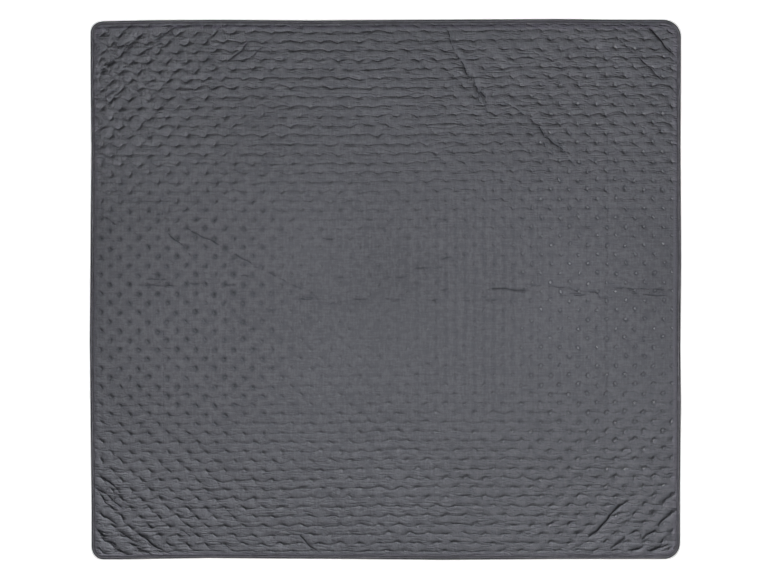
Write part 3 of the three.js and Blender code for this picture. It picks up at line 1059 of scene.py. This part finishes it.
def set_cloth_relief(n):
    """Creases and pressed spots, short wrinkles, gathers along the border, and the brushed weave."""
    sunk = n.times(n.lines, -2.3)
    sunk = n.minus(sunk, n.times(n.fold_line, 0.9))
    sunk = n.minus(sunk, n.times(n.ramp(n.reach, *PIT_WALL), 0.5))
    relief = n.bump(sunk, 1.0)

    row_zone, rising_zone, falling_zone = n.split(n.attribute("zones"))
    pleats = n.times(n.pleats(n.place, 11.0, 52.0), row_zone)
    pleats = n.plus(pleats, n.times(n.pleats(n.place, 52.0, 11.0, SLANT), rising_zone))
    pleats = n.plus(pleats, n.times(n.pleats(n.place, 11.0, 52.0, SLANT), falling_zone))
    pleats = n.times(pleats, n.ramp(n.noise(n.place, 26.0, 1.0), 0.32, 0.58))
    relief = n.bump(pleats, 1.8, relief)

    crumple = n.noise(n.place, 80.0, 3.0, 0.65)
    gathers = n.streaks(n.place, 42.0, 42.0, 3.0, 0.6)
    gathers = n.times(gathers, n.plus(n.ramp(n.inset, *GATHERED, 0.0, 0.9), n.far_up))
    crumple = n.times(n.plus(crumple, gathers), n.minus(1.0, n.spot))
    relief = n.bump(crumple, 1.8, relief)

    pile = n.noise(n.place, 700.0, 2.0, 0.6)
    warp = n.tree.nodes.new("ShaderNodeTexWave")
    warp.inputs["Scale"].default_value = 220.0
    warp.inputs["Distortion"].default_value = 1.5
    warp.inputs["Detail"].default_value = 1.0
    n.join(n.scaled(n.place, (1, 1, 1), SLANT), warp.inputs["Vector"])
    weave = n.plus(n.times(warp.outputs["Fac"], 0.35), pile)
    relief = n.bump(weave, 0.22, relief)
    n.join(relief, n.shader.inputs["Normal"])


def cloth_material():
    n = Cloth()
    set_cloth_colour(n)
    set_cloth_gloss(n)
    set_cloth_relief(n)
    return n.material


def binding_material():
    """Woven tape, with a painted highlight along its crest and painted shade in the groove by its stitching
    and on its outer fold.
    """
    n = Nodes("woven binding tape")
    place = n.object_place()
    place_x, place_y, _ = n.split(place)
    inset, _, _ = n.split(n.attribute("seams"))
    broad = n.noise(place, 48.0, 3.0, 0.6)
    fine = n.noise(place, 420.0, 2.0)
    colour = n.mix(n.ramp(broad, 0.4, 0.6), TAPE_DARK, TAPE_LIGHT)
    colour = n.mix(n.ramp(fine, 0.4, 0.7, 0.0, 0.3), colour, TAPE_WEAVE)
    # Painted highlight along the tape's crest.
    crest = n.times(n.ramp(inset, 2.6, 4.4, 0.0, 0.6), n.ramp(inset, 8.0, 6.4))
    colour = n.mix(crest, colour, TAPE_CREST_HIGHLIGHT)
    # Painted shade in the groove inside the stitching, more along the left, the top and the bottom and less
    # on the right, and on the outer fold.
    shaded_sides = n.larger(n.ramp(place_x, *NEAR_LEFT), n.ramp(place_y, *AT_TOP))
    groove_shade = n.larger(n.ramp(inset, 14.0, 12.2, 0.35, 1.0), n.times(shaded_sides, 0.85))
    groove_shade = n.times(groove_shade, n.ramp(inset, 6.4, 8.8, 0.0, 0.95))
    groove_shade = n.times(groove_shade, n.ramp(place_x, 0.95, 1.08, 1.0, 0.75))
    groove_shade = n.times(groove_shade, n.ramp(n.size(place_y), 0.94, 0.98, 1.0, 1.15))
    shade = n.plus(groove_shade, n.ramp(inset, 3.2, 0.9, 0.0, 0.75))
    shade = n.times(shade, n.ramp(n.noise(place, 70.0, 2.0), 0.35, 0.6, 0.6, 1.0))
    n.join(n.mix(shade, colour, TAPE_SHADE), n.shader.inputs["Base Color"])
    n.join(n.ramp(fine, 0.3, 0.7, 0.62, 0.8), n.shader.inputs["Roughness"])
    relief = n.bump(fine, 0.3)
    relief = n.bump(n.noise(place, 900.0, 2.0), 0.2, relief)
    n.join(relief, n.shader.inputs["Normal"])
    n.set_constants({"Sheen Weight": 0.15, "Sheen Tint": SHEEN_TINT})
    return n.material


def thread_material():
    n = Nodes("binding thread")
    fine = n.noise(n.object_place(), 1500.0, 1.0)
    n.join(n.mix(n.ramp(fine, 0.3, 0.7), THREAD_DARK, THREAD_LIGHT), n.shader.inputs["Base Color"])
    n.join(n.bump(fine, 0.1), n.shader.inputs["Normal"])
    n.set_constants({"Roughness": 0.55})
    return n.material


# Stage

FLOOR_SIZE = 30
FLOOR_GREY = 0.93
FLOOR_GLOW = 0.6
WORLD_COLOUR = (0.97, 0.98, 1, 1)
WORLD_STRENGTH = 0.08

# Each light: name, place in metres, where it aims on the floor, size, watts and spread in degrees.
# The softboxes stand past the middle and shine outwards over it, to light every crease from its inner side.
SOFTBOX_HEIGHT = 1.08
LIGHTS = [
    ("softbox_top", (0, -0.47, SOFTBOX_HEIGHT), (0, 1.95), (0.86, 0.54), 5.15, 67),
    ("softbox_bottom", (0, 0.47, SOFTBOX_HEIGHT), (0, -1.95), (0.86, 0.54), 6.4, 67),
    ("softbox_left", (0.48, 0, SOFTBOX_HEIGHT), (-1.75, 0), (0.8, 0.54), 4.8, 62.7),
    ("softbox_right", (-0.48, 0, SOFTBOX_HEIGHT), (1.75, 0), (0.8, 0.54), 5.35, 62.7),
    ("softbox_top_right", (-0.52, -0.52, SOFTBOX_HEIGHT), (1.8, 1.8), (1.3, 0.54), 7.8, 39.8),
    ("softbox_top_left", (0.52, -0.52, SOFTBOX_HEIGHT), (-1.8, 1.8), (1.3, 0.54), 7.5, 39.8),
    ("softbox_bottom_left", (0.52, 0.52, SOFTBOX_HEIGHT), (-1.8, -1.8), (1.3, 0.54), 9.3, 39.8),
    ("softbox_bottom_right", (-0.52, 0.52, SOFTBOX_HEIGHT), (1.8, -1.8), (1.3, 0.54), 9.7, 39.8),
    ("overhead", (0.1, -0.05, 2.6), (0.1, -0.05), (2, 2), 2.9, 180),
    ("middle", (0, 0, 1.04), (0, 0), (0.76, 0.76), 2.25, 80),
    ("window", (1.9, 0.1, 6.4), (0.9, 0), (0.9, 1.0), 22, 180),
]


def floor():
    bpy.ops.mesh.primitive_plane_add(size=FLOOR_SIZE, location=(0, 0, 0))
    plane = bpy.context.object
    plane.name = "studio_floor"
    n = Nodes("pale floor")
    n.set_constants({
        "Base Color": (FLOOR_GREY, FLOOR_GREY, FLOOR_GREY, 1),
        "Roughness": 0.9,
        "Specular IOR Level": 0.1,
        "Emission Color": (1, 1, 1, 1),
        "Emission Strength": FLOOR_GLOW,
    })
    plane.data.materials.append(n.material)
    plane.visible_diffuse = False


def area_light(name, place, aim, size, watts, spread):
    light = bpy.data.lights.new(name, "AREA")
    light.shape = "RECTANGLE"
    light.size, light.size_y = size
    light.energy = watts
    light.spread = math.radians(spread)
    lamp = bpy.data.objects.new(name, light)
    lamp.location = place
    way = Vector((*aim, 0)) - Vector(place)
    lamp.rotation_euler = way.to_track_quat("-Z", "Y").to_euler()
    lamp.visible_camera = False
    bpy.context.scene.collection.objects.link(lamp)


def studio():
    floor()
    for light in LIGHTS:
        area_light(*light)
    world = bpy.data.worlds.new("studio")
    world.use_nodes = True
    background = world.node_tree.nodes["Background"]
    background.inputs["Color"].default_value = WORLD_COLOUR
    background.inputs["Strength"].default_value = WORLD_STRENGTH
    bpy.context.scene.world = world
    bpy.context.scene.view_settings.view_transform = "Standard"


# The camera stands straight above the blanket, so high that a pixel of the photograph covers this many
# millimetres of its upper face. The view's middle and the face's height are in metres.
MM_PER_PIXEL = 3.7225
PHOTO_WIDTH = 772
VIEW_CENTRE = (0.003, -0.0015)
FACE_HEIGHT = 0.006
LENS = 85.0
SENSOR = 36.0


def camera():
    lens = bpy.data.cameras.new("camera")
    lens.lens = LENS
    lens.sensor_width = SENSOR
    distance = PHOTO_WIDTH * MM_PER_PIXEL * MM * LENS / SENSOR
    holder = bpy.data.objects.new("camera", lens)
    holder.location = (*VIEW_CENTRE, distance + FACE_HEIGHT)
    bpy.context.scene.collection.objects.link(holder)
    bpy.context.scene.camera = holder


# Making

camera()
studio()

panel = quilted_panel()
panel.data.materials.append(cloth_material())
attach(panel, "root")
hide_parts("quilted_panel")

binding = edge_binding()
binding.data.materials.append(binding_material())
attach(binding, "root")
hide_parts("edge_binding")

stitches = binding_stitches()
stitches.data.materials.append(thread_material())
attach(stitches, "root")
